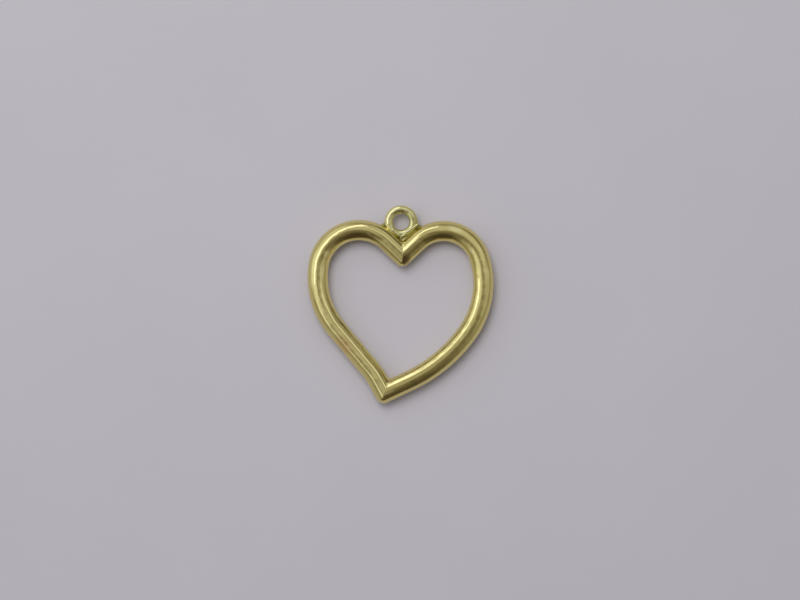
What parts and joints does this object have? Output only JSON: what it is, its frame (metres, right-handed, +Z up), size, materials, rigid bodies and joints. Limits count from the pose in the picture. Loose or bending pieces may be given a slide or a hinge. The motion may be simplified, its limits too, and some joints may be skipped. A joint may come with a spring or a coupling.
{
  "type": "heart charm",
  "caption": "Open heart charm of round brass wire, mitred and brazed at its cusp and tip, with a small round hanging eye soldered in the notch between the lobes.",
  "frame": {"origin": "centre of the charm's box in plan, on the surface that the charm lies on", "axes": "the charm lies flat: +Y along its height towards the hanging eye, +X across to the fuller lobe, +Z up through the wire's thickness"},
  "size_m": [0.0186, 0.02, 0.0021],
  "materials": {
    "brass_wire": "polished",
    "brass_eye": "polished",
    "brass_solder": "satin"
  },
  "bodies": {
    "root": {"left_limb": "brass_wire", "right_limb": "brass_wire", "cusp_braze": "brass_solder", "tip_braze": "brass_solder", "hanging_eye": "brass_eye", "eye_solder_left": "brass_solder", "eye_solder_right": "brass_solder", "eye_solder_base": "brass_solder"}
  },
  "joints": []
}
